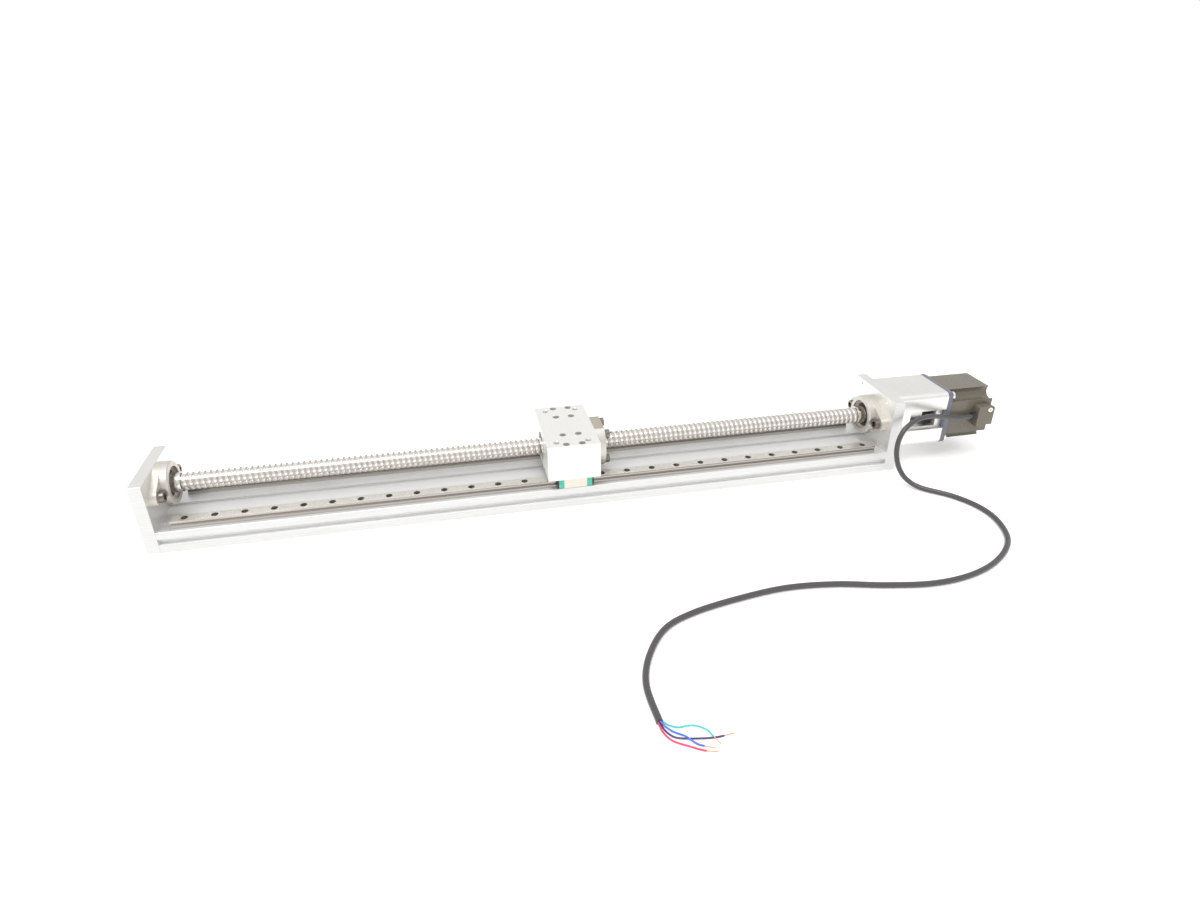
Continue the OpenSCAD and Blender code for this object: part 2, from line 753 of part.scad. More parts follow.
module guide_balls() color(bright_steel)
    for (s = [-1, 1], g = [-1, 1], i = [0 : guide_balls_n - 1])
        translate([block_x + (i - (guide_balls_n - 1) / 2) * ball_pitch,
            s * rail_y + g * groove_y, seat_z + groove_z])
                sphere(d = guide_ball_d, $fn = 16);

// --------------------------------------------------------- motor housing

module motor_hole_places() {
    for (sy = [-1, 1], sz = [-1, 1]) translate([0, sy * bolt_at, axis_z + sz * bolt_at])
        children();
}

module motor_housing() color(aluminium) difference() {
    window_x = plate_x + window_inset;
    along_x(plate_x, housing_len) translate([0, axis_z]) difference() {
        rounded_rect(motor_size, motor_size, 5);
        circle(d = pilot_d + 2 * slide_gap, $fn = 64);
        for (s = [-1, 1])
            translate([s * (motor_size - side_channel_depth) / 2, 0])
                square([side_channel_depth + 0.02, side_channel_w], center = true);
    }
    translate([window_x, -motor_size, axis_z - window_h / 2])
        cube([window_len, 2 * motor_size, window_h]);
    motor_hole_places() bar_x(plate_x - 1, housing_len + 2, motor_bolt_d + 2 * hole_gap);
}

module motor_bolts() color(bright_steel) motor_hole_places()
    translate([stator_x, 0, 0]) screw_to_plus_x()
        cap_screw(motor_bolt_d, motor_flange_t + housing_len + plate_t - 0.5,
            motor_bolt_head_h);

spider_arm_w = 3.2;
spider_hub_d = 10.5;

jaw_n = 3;               // on each hub
jaw_step = 180 / jaw_n;  // between a jaw of one hub and the next of the other

module spider_arms(w, len) {
    for (i = [0 : 2 * jaw_n - 1])
        rotate((i + 0.5) * jaw_step) translate([0, -w / 2]) square([len, w]);
}

module coupling_jaws(x0, turn) {
    along_x(x0, jaw_len - 0.5) translate([0, axis_z]) difference() {
        intersection() {
            circle(d = coupling_d);
            for (i = [0 : jaw_n - 1]) rotate(turn + 2 * jaw_step * i) polygon([
                [0, 0],
                coupling_d * [cos(jaw_step / 2), -sin(jaw_step / 2)],
                coupling_d * [cos(jaw_step / 2), sin(jaw_step / 2)]]);
        }
        circle(d = spider_hub_d + 2 * slide_gap);
        spider_arms(spider_arm_w + 2 * slide_gap, coupling_d);
    }
}

module hub(x0, bore, side) {
    x1 = x0 + hub_len / 2;
    difference() {
        bar_x(x0, hub_len, coupling_d, 0, axis_z);
        bar_x(x0 - 1, hub_len + 2, bore + 2 * slide_gap, 0, axis_z);
        translate([x0 - 1, -0.6, axis_z]) cube([hub_len + 2, 1.2, coupling_d]);
        translate([x1, -coupling_d / 2, axis_z + clamp_z]) rotate([-90, 0, 0])
            cylinder(d = clamp_d + 2 * thread_gap, h = coupling_d);
        translate([x1, side > 0 ? 4 : -4 - coupling_d, axis_z + clamp_z]) rotate([-90, 0, 0])
            cylinder(d = 2 * clamp_d, h = coupling_d);
    }
}

clamp_d = 3;
clamp_z = coupling_d / 2 - 4.2;

module coupling_screw_hub() color(aluminium) {
    hub(hub_x, drive_end_d, -1);
    coupling_jaws(jaw_x, 0);
}

module coupling_motor_hub() color(aluminium) {
    hub(hub2_x, motor_shaft_d, -1);
    coupling_jaws(jaw_x + 0.5, jaw_step);
}

module coupling_spider() color([0.75, 0.2, 0.15]) along_x(jaw_x + 0.5, jaw_len - 1)
    translate([0, axis_z]) difference() {
        union() {
            circle(d = spider_hub_d);
            spider_arms(spider_arm_w, coupling_d / 2 - 1);
        }
        circle(d = spider_hub_d / 2);
    }

module coupling_clamp_screws() color(dark_steel)
    for (x = [hub_x, hub2_x])
        translate([x + hub_len / 2, -4, axis_z + clamp_z]) rotate([90, 0, 0])
            cap_screw(clamp_d, 9);

// ----------------------------------------------------------------- motor

module stator_outline() {
    difference() {
        square(stator_w, center = true);
        for (sx = [-1, 1], sy = [-1, 1])
            translate([sx * bolt_at, sy * bolt_at]) circle(notch_r);
    }
}

module motor_flange() color(flange_blue) difference() {
    union() {
        along_x(motor_x, motor_flange_t) translate([0, axis_z])
            rounded_rect(motor_size, motor_size, 4);
        bar_x(motor_x - pilot_h, pilot_h, pilot_d, 0, axis_z);
        bar_x(stator_x, 3, rotor_d + 2 * air_gap - 2 * slide_gap, 0, axis_z);
    }
    bar_x(motor_x - pilot_h - 1, motor_flange_t + 10, motor_shaft_d + 4, 0, axis_z);
    bar_x(stator_x + 3 - motor_bearing_w, motor_bearing_w + 1,
        motor_bearing_d + 2 * slide_gap, 0, axis_z);
    motor_hole_places() bar_x(motor_x - 1, motor_flange_t + 2, motor_bolt_d + 2 * hole_gap);
}

module case_screw_places() {
    for (sy = [-1, 1], sz = [-1, 1])
        translate([0, sy * case_screw_at, axis_z + sz * case_screw_at]) children();
}

module motor_stator() color(motor_dark) difference() {
    along_x(stator_x, stator_len) translate([0, axis_z]) stator_outline();
    bar_x(stator_x - 1, stator_len + 2, rotor_d + 2 * air_gap, 0, axis_z);
    case_screw_places() bar_x(stator_x - 1, stator_len + 2, 3 + 2 * hole_gap);
}

module motor_rear_cap() color(motor_dark) difference() {
    along_x(cap_x, rear_cap_len) translate([0, axis_z]) stator_outline();
    bar_x(cap_x - 1, motor_bearing_w + 1, motor_bearing_d + 2 * slide_gap, 0, axis_z);
    bar_x(cap_x - 1, motor_bearing_w + 3, motor_shaft_d + 4, 0, axis_z);
    case_screw_places() {
        bar_x(cap_x - 1, rear_cap_len + 2, 3 + 2 * hole_gap);
        bar_x(rear_x - 3, 4, 6);
    }
    translate([cover_screw_at[0], cover_y + 5, cover_screw_at[1]]) rotate([90, 0, 0])
        cylinder(d = 3 + 2 * thread_gap, h = 6);
}

module motor_case_screws() color(dark_steel) case_screw_places()
    translate([rear_x - 3, 0, 0]) screw_to_plus_x()
        cap_screw(3, rear_cap_len - 3 + stator_len);

module motor_rotor() color(warm_steel) difference() {
    bar_x(stator_x + 3 + 1, stator_len - 5, rotor_d, 0, axis_z);
    bar_x(stator_x, stator_len, motor_shaft_d + 2 * slide_gap, 0, axis_z);
}

module motor_shaft() color(bright_steel)
    bar_x(hub2_x + 1, cap_x + motor_bearing_w - hub2_x - 1, motor_shaft_d, 0, axis_z);

module motor_bearings() color(bright_steel)
    for (x = [stator_x + 3 - motor_bearing_w, cap_x]) difference() {
        bar_x(x, motor_bearing_w, motor_bearing_d, 0, axis_z);
        bar_x(x - 1, motor_bearing_w + 2, motor_shaft_d + 2 * running_gap, 0, axis_z);
    }

// ----------------------------------------------------------------- cable

cover_screw_at = [cap_x + 2.5, cover_z + 7.5];

module cable_cover() color(motor_dark) difference() {
    translate([cover_x + cover_len / 2, cover_y, cover_z]) rotate([90, 0, 0])
        linear_extrude(cover_depth) rounded_rect(cover_len, cover_h, 2.5);
    translate([cover_x + cover_len - 7, cover_y - cover_depth - 1, cover_z - cover_h / 2 - 1])
        cube([8, cover_depth + 2, 3.5]);
    translate([cover_screw_at[0], cover_y + 1, cover_screw_at[1]]) rotate([90, 0, 0]) {
        cylinder(d = 3 + 2 * hole_gap, h = cover_depth + 2);
        translate([0, 0, cover_depth - 2]) cylinder(d = 6.2, h = 4);
    }
}

module cable_cover_screw() color(bright_steel)
    translate([cover_screw_at[0], cover_y - cover_depth + 3, cover_screw_at[1]])
        rotate([90, 0, 0]) cap_screw(3, cover_depth + 1);

module cable_grommet() color(seal_black) translate([cover_x, cable_y, cable_z])
    rotate([0, -90, 0]) difference() {
        cylinder(d1 = cable_d + 3, d2 = cable_d + 1.6, h = 4);
        translate([0, 0, -1]) cylinder(d = cable_d + 2 * slide_gap, h = 6);
    }

// Smooth curve through a list of points: two rings for every stretch
function clamp_i(i, n) = min(max(i, 0), n - 1);
function curve_point(p, i, t) = let(
        n = len(p),
        a = p[clamp_i(i - 1, n)], b = p[i], c = p[clamp_i(i + 1, n)], d = p[clamp_i(i + 2, n)])
    0.5 * (2 * b + (c - a) * t + (2 * a - 5 * b + 4 * c - d) * t * t
        + (3 * b - a - 3 * c + d) * t * t * t);
function smooth_route(p) = [for (i = [0 : len(p) - 2]) each [p[i], curve_point(p, i, 0.5)],
    p[len(p) - 1]];
function unit(v) = v / norm(v);
function tangent(p, i) = unit(p[clamp_i(i + 1, len(p))] - p[clamp_i(i - 1, len(p))]);
function ring_point(c, t, r, a) = let(
        side = unit(cross(t, abs(t[2]) > 0.9 ? [1, 0, 0] : [0, 0, 1])),
        up = cross(side, t))
    c + r * (cos(a) * side + sin(a) * up);

// Round tube along a list of points, resting no lower than the table
module tube(path, r, sides) {
    n = len(path);
    path_z = [for (p = path) [p[0], p[1], max(p[2], r + 0.02)]];
    rings = [for (i = [0 : n - 1], k = [0 : sides - 1])
        ring_point(path_z[i], tangent(path_z, i), r, (k + 0.5) * 360 / sides)];
    walls = [for (i = [0 : n - 2], k = [0 : sides - 1])
        let(a = i * sides + k, b = i * sides + (k + 1) % sides)
        each [[a, a + sides, b], [b, a + sides, b + sides]]];
    first = [for (k = [0 : sides - 1]) k];
    last = [for (k = [0 : sides - 1]) n * sides - 1 - k];
    polyhedron(points = rings, faces = concat(walls, [first, last]), convexity = 10);
}

module motor_cable() color(seal_black) tube(smooth_route(cable_route), cable_d / 2, 8);
module wire_green() color([0.35, 0.85, 0.8]) tube(green_route, wire_d / 2, 8);
module wire_black() color([0.2, 0.15, 0.3]) tube(black_route, wire_d / 2, 8);
module wire_blue() color([0.35, 0.5, 0.95]) tube(blue_route, wire_d / 2, 8);
module wire_red() color([0.95, 0.4, 0.5]) tube(red_route, wire_d / 2, 8);

// ----------------------------------------------------------------- nodes

base_profile();
idle_end_plate();
drive_end_plate();
plate_screws();
rail(-1);  // front_rail
rail(1);  // rear_rail
rail_screws();
idle_bearing_housing();
idle_housing_bolts();
idle_bearing_outer_ring();
idle_bearing_inner_ring();
idle_bearing_balls();
idle_bearing_seals();
drive_bearing_housing();
drive_housing_bolts();
drive_bearing_outer_ring();
drive_bearing_inner_ring();
drive_bearing_balls();
drive_bearing_seals();
collar_set_screws();
ball_screw();
ball_nut();
nut_wipers();
nut_screws();
carriage_plate();
guide_block_screws();
guide_block(-1);  // front_guide_block
guide_caps(-1);  // front_guide_caps
guide_seals(-1);  // front_guide_seals
guide_block(1);  // rear_guide_block
guide_caps(1);  // rear_guide_caps
guide_seals(1);  // rear_guide_seals
guide_cap_screws();
guide_balls();
motor_housing();
motor_bolts();
motor_flange();
motor_stator();
motor_rear_cap();
motor_case_screws();
motor_rotor();
motor_shaft();
motor_bearings();
coupling_screw_hub();
coupling_motor_hub();
coupling_spider();
coupling_clamp_screws();
cable_cover();
cable_cover_screw();
cable_grommet();
motor_cable();
wire_green();
wire_black();
wire_blue();
wire_red();
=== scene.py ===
# %% [markdown]
# # Ball screw linear module
# A linear module turns a motor's rotation into straight travel. An extruded
# base carries two ground rails, and a ball screw between two end plates
# pushes the carriage along them. The frame from the CAD model gives every
# piece its true size and place, so this file adds what CAD leaves plain: the
# helical thread, the cable, the finish of each metal, and the light.

import json
import math

import bpy
from mathutils import Matrix, Vector


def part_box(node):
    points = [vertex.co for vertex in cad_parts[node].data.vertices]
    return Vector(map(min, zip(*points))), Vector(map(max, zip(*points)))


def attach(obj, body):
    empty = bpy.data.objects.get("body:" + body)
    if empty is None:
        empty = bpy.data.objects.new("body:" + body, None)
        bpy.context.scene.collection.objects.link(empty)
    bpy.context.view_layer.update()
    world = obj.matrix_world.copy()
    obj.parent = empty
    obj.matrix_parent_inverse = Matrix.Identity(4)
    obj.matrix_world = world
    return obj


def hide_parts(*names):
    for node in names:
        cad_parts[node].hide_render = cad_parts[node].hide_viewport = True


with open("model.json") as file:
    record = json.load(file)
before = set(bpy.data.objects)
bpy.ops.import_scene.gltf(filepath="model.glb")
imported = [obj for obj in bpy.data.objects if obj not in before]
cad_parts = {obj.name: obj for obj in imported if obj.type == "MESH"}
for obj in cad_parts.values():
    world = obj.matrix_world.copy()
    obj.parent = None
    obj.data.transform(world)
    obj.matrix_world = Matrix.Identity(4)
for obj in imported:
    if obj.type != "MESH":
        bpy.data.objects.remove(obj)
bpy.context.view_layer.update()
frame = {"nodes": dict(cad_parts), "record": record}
nodes = frame["nodes"]

# %% [markdown]
# ## Camera
# The module is long and low. A wide lens that stands close to it makes its
# lines run together towards the motor, which is the far end. The camera is
# placed first, because the cable has to stay inside its view.


# %% Camera
def add_object(name, data):
    thing = bpy.data.objects.new(name, data)
    bpy.context.scene.collection.objects.link(thing)
    return thing


def place_camera(place, azimuth, elevation, roll, lens):
    """A camera turned by azimuth from +Y towards +X and tipped down by elevation, in degrees."""
    a, e, r = (math.radians(v) for v in (azimuth, elevation, roll))
    ahead = Vector((math.sin(a) * math.cos(e), math.cos(a) * math.cos(e), -math.sin(e)))
    right = Vector((math.cos(a), -math.sin(a), 0))
    up = right.cross(ahead)
    turned_right = math.cos(r) * right + math.sin(r) * up
    turned_up = math.cos(r) * up - math.sin(r) * right
    data = bpy.data.cameras.new("module_camera")
    data.sensor_width = 36
    data.lens = lens
    data.clip_start, data.clip_end = 0.02, 60
    camera = add_object("module_camera", data)
    axes = Matrix((turned_right, turned_up, -ahead)).transposed()
    camera.matrix_world = Matrix.Translation(place) @ axes.to_4x4()
    bpy.context.scene.camera = camera
    return camera


camera = place_camera(
    place=(-0.0856, -0.66605, 0.39522), azimuth=11.89, elevation=27.76, roll=-0.20, lens=23.161
)
print("camera at", tuple(round(v, 3) for v in camera.matrix_world.translation))

# %% [markdown]
# ## Materials
# Almost everything here is metal, and metals differ by how rough their
# surface is, which way it was worked and how evenly. Every finish starts
# from a noise on Object coordinates, so its pattern stays on the piece when
# the piece moves. The noise is stretched along the way the metal was drawn
# or milled, and it drives a little of the colour and a very shallow relief.

# %% Noise on a surface
finishes = {}


def new_material(name):
    """A new material, kept in finishes under its name."""
    material = bpy.data.materials.new(name)
    material.use_nodes = True
    finishes[name] = material
    tree = material.node_tree
    return material, tree.nodes, tree.links, tree.nodes["Principled BSDF"]


def stretched_noise(tree_nodes, links, stretch, detail=4.0):
    """A noise on Object coordinates, squeezed by stretch along X, Y and Z."""
    place = tree_nodes.new("ShaderNodeTexCoord")
    mapping = tree_nodes.new("ShaderNodeMapping")
    mapping.inputs["Scale"].default_value = stretch
    noise = tree_nodes.new("ShaderNodeTexNoise")
    noise.inputs["Scale"].default_value = 1.0
    noise.inputs["Detail"].default_value = detail
    links.new(place.outputs["Object"], mapping.inputs["Vector"])
    links.new(mapping.outputs["Vector"], noise.inputs["Vector"])
    return noise


# %% [markdown]
# A noise runs from 0 to 1 but is mostly in the middle, so only its middle
# range is used. Three helpers pass it on: as a number for the roughness, as
# a colour that is darker where the noise is low, and as a relief.

# %% From noise to number, colour and relief
NOISE_RANGE = (0.3, 0.7)
TINT_RANGE = (0.35, 0.65)
RELIEF_DEPTH = 0.0002


def spread(tree_nodes, links, noise, start, end):
    """A value that goes from start to end over the noise's middle range."""
    ramp = tree_nodes.new("ShaderNodeMapRange")
    ramp.inputs["From Min"].default_value = NOISE_RANGE[0]
    ramp.inputs["From Max"].default_value = NOISE_RANGE[1]
    ramp.inputs["To Min"].default_value = start
    ramp.inputs["To Max"].default_value = end
    links.new(noise.outputs["Fac"], ramp.inputs["Value"])
    return ramp.outputs["Result"]


def tint(tree_nodes, links, noise, colour, darkest):
    """A colour that falls to darkest times itself where the noise is low."""
    ramp = tree_nodes.new("ShaderNodeValToRGB")
    low, high = ramp.color_ramp.elements
    low.position, high.position = TINT_RANGE
    low.color = (*(c * darkest for c in colour), 1)
    high.color = (*colour, 1)
    links.new(noise.outputs["Fac"], ramp.inputs["Fac"])
    return ramp.outputs["Color"]


def relief(tree_nodes, links, shader, noise, strength):
    bump = tree_nodes.new("ShaderNodeBump")
    bump.inputs["Strength"].default_value = strength
    bump.inputs["Distance"].default_value = RELIEF_DEPTH
    links.new(noise.outputs["Fac"], bump.inputs["Height"])
    links.new(bump.outputs["Normal"], shader.inputs["Normal"])


print("relief at most", RELIEF_DEPTH * 1000, "mm")

# %% [markdown]
# Drawn aluminium has long streaks, a milled plate has short ones across it,
# a ground rail is speckled with fine pits, and a turned housing is even. A
# second, broad noise changes the roughness from place to place, as hands and
# a thin film of oil do, so that a large flat face doesn't shine evenly.

# %% Metal finishes
EVEN = (300, 300, 300)
DRAWN = (8, 900, 900)
MILLED = (700, 90, 700)
PITTED = (900, 1100, 1100)
TURNED = (900, 200, 200)
SMUDGES = (35, 35, 35)
BROAD = 2.0


def metal(name, colour, roughness, stretch=EVEN, bump=0.02, vary=0.05, darkest=0.92, bare=1.0):
    """A metal surface; bare is 1 with no oxide on it and less under anodising."""
    material, tree_nodes, links, shader = new_material(name)
    shader.inputs["Metallic"].default_value = bare
    grain = stretched_noise(tree_nodes, links, stretch)
    smudges = stretched_noise(tree_nodes, links, SMUDGES, BROAD)
    uneven = spread(tree_nodes, links, smudges, roughness + vary, roughness - vary)
    links.new(uneven, shader.inputs["Roughness"])
    links.new(tint(tree_nodes, links, grain, colour, darkest), shader.inputs["Base Color"])
    relief(tree_nodes, links, shader, grain, bump)


metal("base_aluminium", (0.86, 0.86, 0.855), 0.42, DRAWN, bump=0.04, darkest=0.95, bare=0.5)
metal("plate_aluminium", (0.87, 0.865, 0.84), 0.38, MILLED, bump=0.03, darkest=0.96)
metal("carriage_aluminium", (0.86, 0.855, 0.83), 0.44, MILLED, vary=0.04, darkest=0.97, bare=0.7)
metal("filed_edge", (0.80, 0.80, 0.79), 0.30)
metal("ground_rail", (0.92, 0.90, 0.86), 0.34, PITTED, bump=0.10, darkest=0.80, bare=0.8)
# The rear rail is the same steel as the front one, painted darker: painted shade for the shade
# under the screw and the dark things the rail mirrors there.
metal("rear_rail_painted_shade", (0.72, 0.68, 0.63), 0.32, PITTED, bump=0.10, darkest=0.80)
# The slot walls are painted paler: painted light in the side grooves.
metal("slot_wall_painted_light", (0.97, 0.97, 0.965), 0.50, DRAWN, bare=0.2)
# Painted shade: a darker copy of the aluminium for the outer sides.
metal("outer_side_painted_shade", (0.75, 0.75, 0.745), 0.42, DRAWN, bump=0.03, bare=0.8)
# Painted shade for the lower and upright edges, which draws the outline.
metal("outline_edge_painted_shade", (0.50, 0.49, 0.48), 0.40)
# Painted shade for the rail's sides, and darker still for its tracks and chamfers.
metal("rail_side_painted_shade", (0.50, 0.475, 0.445), 0.38, DRAWN)
metal("ball_track_painted_shade", (0.27, 0.24, 0.215), 0.35, DRAWN)
# The lands are painted darker than the steel: painted shade between the glints.
metal("screw_land_painted_shade", (0.54, 0.49, 0.46), 0.30, TURNED, bump=0.03)
metal("screw_groove", (0.86, 0.84, 0.805), 0.13, TURNED, bump=0.03)
metal("polished_steel", (0.84, 0.83, 0.80), 0.15, TURNED)
metal("bearing_steel", (0.78, 0.76, 0.72), 0.14)
metal("housing_steel", (0.69, 0.655, 0.605), 0.44, bump=0.05, bare=0.8)
metal("block_steel", (0.76, 0.70, 0.60), 0.30, DRAWN, bump=0.05)
metal("brown_nut_flat", (0.60, 0.53, 0.45), 0.40, MILLED, bump=0.06)
# Near white for the screws deep in the counterbores: painted light in their shade.
metal("counterbore_bolt_painted_light", (0.96, 0.935, 0.925), 0.5, bare=0.35)
metal("black_oxide", (0.28, 0.25, 0.225), 0.34, darkest=0.75)
metal("zinc_bolt", (0.90, 0.89, 0.84), 0.22)
metal("copper", (0.80, 0.42, 0.25), 0.30)
print("metals", len(finishes))

# %% [markdown]
# Plastic, rubber and paint aren't metallic. They get a colour, a gloss and a
# fine grain, so that a large face isn't perfectly even.


# %% Paint, plastic and rubber
def coated(name, colour, roughness, grain=600, bump=0.05, vary=0.04, darkest=0.85):
    material, tree_nodes, links, shader = new_material(name)
    noise = stretched_noise(tree_nodes, links, (grain, grain, grain), BROAD)
    links.new(tint(tree_nodes, links, noise, colour, darkest), shader.inputs["Base Color"])
    uneven = spread(tree_nodes, links, noise, roughness + vary, roughness - vary)
    links.new(uneven, shader.inputs["Roughness"])
    relief(tree_nodes, links, shader, noise, bump)
    return material


coated("cap_green", (0.10, 0.53, 0.40), 0.40)
coated("seal_rubber", (0.03, 0.03, 0.03), 0.55)
coated("motor_paint", (0.155, 0.136, 0.105), 0.24, grain=250, bump=0.01, darkest=0.97)
coated("flange_paint", (0.155, 0.16, 0.205), 0.35, grain=400, bump=0.02, darkest=0.95)
coated("spider_red", (0.45, 0.03, 0.02), 0.45)
coated("jacket", (0.080, 0.075, 0.078), 0.28, grain=1200, bump=0.04)
coated("wire_green", (0.12, 0.68, 0.64), 0.35)
coated("wire_black", (0.09, 0.06, 0.18), 0.35)
coated("wire_blue", (0.09, 0.19, 0.80), 0.35)
coated("wire_red", (0.82, 0.07, 0.16), 0.35)
print("finishes", len(finishes))

# %% [markdown]
# ## Motor cable
# The cable is one length of round rubber jacket. It leaves the motor's cover,
# arches over beside the motor housing, drops to the table and lies there in
# a slow S. A curve with a round bevel is the right tool, because its line is
# the cable's centre, and its points can be placed one by one. A Catmull-Rom
# spline makes the line smooth, and it passes through every point. On the
# table the centre stands one radius high, so those points need no height.


# %% Smooth lines and tubes
def smooth_route(points, steps):
    """A smooth line through all the points, with steps stretches between two of them."""
    line = []
    last = len(points) - 1
    for i in range(last):
        a, b, c, d = (Vector(points[min(max(k, 0), last)]) for k in (i - 1, i, i + 1, i + 2))
        for step in range(steps):
            t = step / steps
            slope = (c - a) * t
            bend = (2 * a - 5 * b + 4 * c - d) * t**2
            twist = (3 * b - a - 3 * c + d) * t**3
            line.append(0.5 * (2 * b + slope + bend + twist))
    line.append(Vector(points[last]))
    return line


def line_length(line):
    return sum((b - a).length for a, b in zip(line, line[1:]))


def lay_tube(name, line, radius, material):
    """A round tube along a line, kept just above the table."""
    curve = bpy.data.curves.new(name, "CURVE")
    curve.dimensions = "3D"
    spline = curve.splines.new("POLY")
    spline.points.add(len(line) - 1)
    for point, place in zip(spline.points, line):
        point.co = (place.x, place.y, max(place.z, radius), 1)
    spline.use_smooth = True
    curve.bevel_depth = radius
    curve.bevel_resolution = 5
    curve.use_fill_caps = True
    curve.materials.append(material)
    tube = add_object(name, curve)
    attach(tube, "base")
    return tube


# %% Lay the cable
CABLE_DIAMETER = 0.005
CABLE_RADIUS = CABLE_DIAMETER / 2
CABLE_STEPS = 10
arch = [
    (0.448, -0.033, 0.050),
    (0.438, -0.033, 0.050),
    (0.424, -0.035, 0.0508),
    (0.408, -0.038, 0.0548),
    (0.390, -0.042, 0.0596),
    (0.373, -0.046, 0.0598),
    (0.358, -0.050, 0.054),
    (0.349, -0.0545, 0.043),
    (0.346, -0.0595, 0.030),
    (0.3475, -0.0655, 0.0175),
    (0.353, -0.073, 0.008),
    (0.363, -0.084, 0.0032),
]
on_table = [
    (0.385, -0.104),
    (0.398, -0.128),
    (0.399, -0.154),
    (0.387, -0.183),
    (0.360, -0.206),
    (0.326, -0.220),
    (0.288, -0.224),
    (0.248, -0.218),
    (0.208, -0.208),
    (0.166, -0.204),
    (0.122, -0.209),
    (0.082, -0.218),
    (0.056, -0.231),
    (0.037, -0.256),
    (0.027, -0.284),
    (0.027, -0.318),
]
cable_route = arch + [(x, y, CABLE_RADIUS) for x, y in on_table]
cable_line = smooth_route(cable_route, CABLE_STEPS)
cable = lay_tube("cable_jacket", cable_line, CABLE_RADIUS, finishes["jacket"])
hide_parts("motor_cable")
print("cable length", round(line_length(cable_line), 4))

# %% [markdown]
# ## The four wires
# Where the jacket is cut, four thin wires fan out on the table. Each one is
# insulated for most of its length and stripped at its end. The insulation and
# the bare copper are two tubes on one line, split at the strip length. FLAT
# is the height of a wire's centre where the wire lies on the table.

# %% Wire routes
WIRE_DIAMETER = 0.0013
COPPER_DIAMETER = 0.0007
STRIP = 0.0065
FLAT = 0.0007
WIRE_STEPS = 8
wire_routes = {
    "green": [
        (0.0286, -0.317, 0.0024),
        (0.032, -0.3203, 0.0015),
        (0.038, -0.323, FLAT),
        (0.048, -0.3235, FLAT),
        (0.055, -0.329, 0.0014),
        (0.0575, -0.336, 0.0022),
        (0.061, -0.342, FLAT),
    ],
    "black": [
        (0.0274, -0.317, 0.0017),
        (0.029, -0.324, FLAT),
        (0.0345, -0.331, FLAT),
        (0.048, -0.3345, FLAT),
        (0.060, -0.336, FLAT),
        (0.072, -0.335, FLAT),
    ],
    "blue": [
        (0.027, -0.317, 0.0034),
        (0.0296, -0.322, 0.0023),
        (0.034, -0.3265, 0.0012),
        (0.040, -0.3323, 0.0022),
        (0.044, -0.337, 0.0015),
        (0.048, -0.340, FLAT),
        (0.057, -0.344, FLAT),
    ],
    "red": [
        (0.026, -0.317, 0.0024),
        (0.0272, -0.325, FLAT),
        (0.0315, -0.333, FLAT),
        (0.040, -0.339, FLAT),
        (0.049, -0.3445, FLAT),
        (0.057, -0.347, FLAT),
    ],
}
print("wires", sorted(wire_routes))


# %% Lay the wires
def split_line(line, end_length):
    """The line in two parts, the second with about end_length."""
    cut = len(line) - 1
    while cut > 1 and line_length(line[cut:]) < end_length:
        cut -= 1
    return line[: cut + 1], line[cut:]


for colour, route in wire_routes.items():
    name = f"wire_{colour}"
    covered, stripped = split_line(smooth_route(route, WIRE_STEPS), STRIP)
    wire = lay_tube(f"{name}_cover", covered, WIRE_DIAMETER / 2, finishes[name])
    strands = lay_tube(f"{name}_strands", stripped, COPPER_DIAMETER / 2, finishes["copper"])
    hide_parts(name)
    print(colour, "wire", round(line_length(covered) * 1000, 1), "mm")

# %% [markdown]
# ## Ball screw thread
# A ball screw's thread isn't a V but a round-bottomed groove that the balls
# roll in, with a flat land between two turns. The section of one turn is
# drawn once, from land to groove to land, and the Screw modifier winds it
# along the axis, so each turn joins the next.

# %% Thread section
screw_low, screw_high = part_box("ball_screw")
collar_low, collar_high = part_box("drive_bearing_inner_ring")
AXIS_Z = (collar_low.z + collar_high.z) / 2
LEAD = 0.005
THREAD_RADIUS = (screw_high.z - screw_low.z) / 2
GROOVE_RADIUS = 0.00165
GROOVE_OFFSET = 0.0005
GROOVE_CENTRE = THREAD_RADIUS + GROOVE_OFFSET
GROOVE_STEPS = 8
COLLAR_GAP = 0.0003
thread_end = collar_low.x - COLLAR_GAP


def thread_section(start):
    """Points (x, radius) of one lead from x = start, which is the middle of a land."""
    half = math.acos((GROOVE_CENTRE - THREAD_RADIUS) / GROOVE_RADIUS)
    points = [(0, THREAD_RADIUS)]
    for k in range(GROOVE_STEPS + 1):
        a = -half + 2 * half * k / GROOVE_STEPS
        x = LEAD / 2 + GROOVE_RADIUS * math.sin(a)
        points.append((x, GROOVE_CENTRE - GROOVE_RADIUS * math.cos(a)))
    points.append((LEAD, THREAD_RADIUS))
    return [(start + x, r) for x, r in points]


print("thread radius", round(THREAD_RADIUS, 4), "ends at", round(thread_end, 4))

# %% [markdown]
# Operators act on what is selected. A few small helpers choose one piece,
# open and close it for editing, apply its modifiers, move its place into its
# mesh and smooth it. The rest of the file uses them.


# %% Helpers for operators
def deselect():
    bpy.ops.object.select_all(action="DESELECT")


def select_only(piece):
    deselect()
    piece.select_set(True)
    bpy.context.view_layer.objects.active = piece


def edit_all(piece):
    """Opens a piece for editing with all of it selected."""
    select_only(piece)
    bpy.ops.object.mode_set(mode="EDIT")
    bpy.ops.mesh.select_all(action="SELECT")


def end_edit():
    bpy.ops.object.mode_set(mode="OBJECT")


def apply_all_modifiers(piece):
    select_only(piece)
    for modifier in list(piece.modifiers):
        bpy.ops.object.modifier_apply(modifier=modifier.name)


def bake_place(piece):
    """Moves the object's place and size into its mesh."""
    select_only(piece)
    bpy.ops.object.transform_apply(location=True, rotation=True, scale=True)


def smooth_below(angle):
    """Smooths the active piece, with an edge kept sharp where it turns by more than angle."""
    bpy.ops.object.shade_smooth_by_angle(angle=math.radians(angle))


# %% Wind the thread
TURN_STEPS = 28
CLOSE = 0.00001


